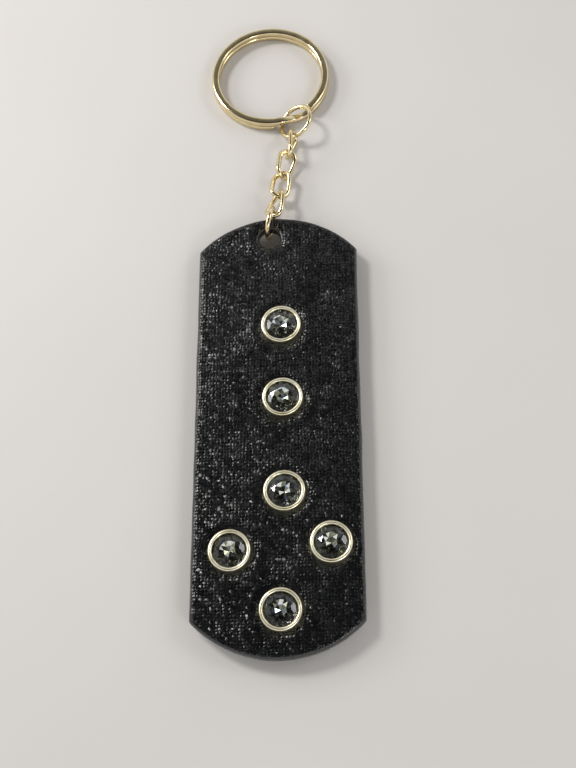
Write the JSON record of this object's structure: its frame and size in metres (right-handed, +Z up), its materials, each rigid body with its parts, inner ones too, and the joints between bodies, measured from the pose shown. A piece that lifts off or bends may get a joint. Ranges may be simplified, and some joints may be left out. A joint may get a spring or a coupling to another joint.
{
  "type": "leather key fob",
  "caption": "Leather key fob strap set with crystal rivets, hung from a short link chain on a split key ring.",
  "frame": {"origin": "middle of the outline's box, on the surface that the fob lies on", "axes": "+X across the leather strap, +Y along the fob towards the split ring, +Z up out of the crystals' side"},
  "size_m": [0.0318, 0.138, 0.007],
  "materials": {
    "leather": "glossy pebbled black, burnished edges",
    "crystal": "faceted, foil-backed, clear to smoky",
    "gold_plate": "polished pale gold plate"
  },
  "bodies": {
    "fob": {"leather_panel": "leather", "rivet_cap_1": "gold_plate", "rivet_cap_2": "gold_plate", "rivet_cap_3": "gold_plate", "rivet_cap_4": "gold_plate", "rivet_cap_5": "gold_plate", "rivet_cap_6": "gold_plate", "rivet_post_1": "gold_plate", "rivet_post_2": "gold_plate", "rivet_post_3": "gold_plate", "rivet_post_4": "gold_plate", "rivet_post_5": "gold_plate", "rivet_post_6": "gold_plate", "crystal_1": "crystal", "crystal_2": "crystal", "crystal_3": "crystal", "crystal_4": "crystal", "crystal_5": "crystal", "crystal_6": "crystal"},
    "fob_ring": {"fob_ring": "gold_plate"},
    "link_4": {"chain_link_4": "gold_plate"},
    "link_3": {"chain_link_3": "gold_plate"},
    "link_2": {"chain_link_2": "gold_plate"},
    "link_1": {"chain_link_1": "gold_plate"},
    "jump_ring": {"jump_ring": "gold_plate"},
    "split_ring": {"split_ring": "gold_plate"}
  },
  "joints": [
    {"name": "fob_ring_swing", "type": "hinge", "parent": "fob", "child": "fob_ring", "pos_m": [-0.00145, 0.01864, 0.0025], "axis": [0.9781, -0.2079, 0], "range_deg": [-90, 90]},
    {"name": "link_4_swing", "type": "hinge", "parent": "fob_ring", "child": "link_4", "pos_m": [-0.00083, 0.02165, 0.00313], "axis": [-0.0253, -0.1192, -0.9925], "range_deg": [-65, 70]},
    {"name": "link_3_swing", "type": "hinge", "parent": "link_4", "child": "link_3", "pos_m": [0.00042, 0.02653, 0.00252], "axis": [0.4816, -0.0092, 0.8764], "range_deg": [-75, 75]},
    {"name": "link_2_swing", "type": "hinge", "parent": "link_3", "child": "link_2", "pos_m": [0.00091, 0.03155, 0.0019], "axis": [0.9258, -0.0677, 0.3718], "range_deg": [-65, 75]},
    {"name": "link_1_swing", "type": "hinge", "parent": "link_2", "child": "link_1", "pos_m": [0.00237, 0.03642, 0.00235], "axis": [-0.9228, 0.2305, 0.3086], "range_deg": [-75, 75]},
    {"name": "jump_ring_swing", "type": "hinge", "parent": "link_1", "child": "jump_ring", "pos_m": [0.00337, 0.04139, 0.00219], "axis": [0.3789, -0.097, -0.9204], "range_deg": [-60, 75]},
    {"name": "split_ring_flip", "type": "hinge", "parent": "jump_ring", "child": "split_ring", "pos_m": [0.003, 0.04566, 0.00153], "axis": [0.9135, 0.4067, 0], "range_deg": [-30, 40]}
  ]
}
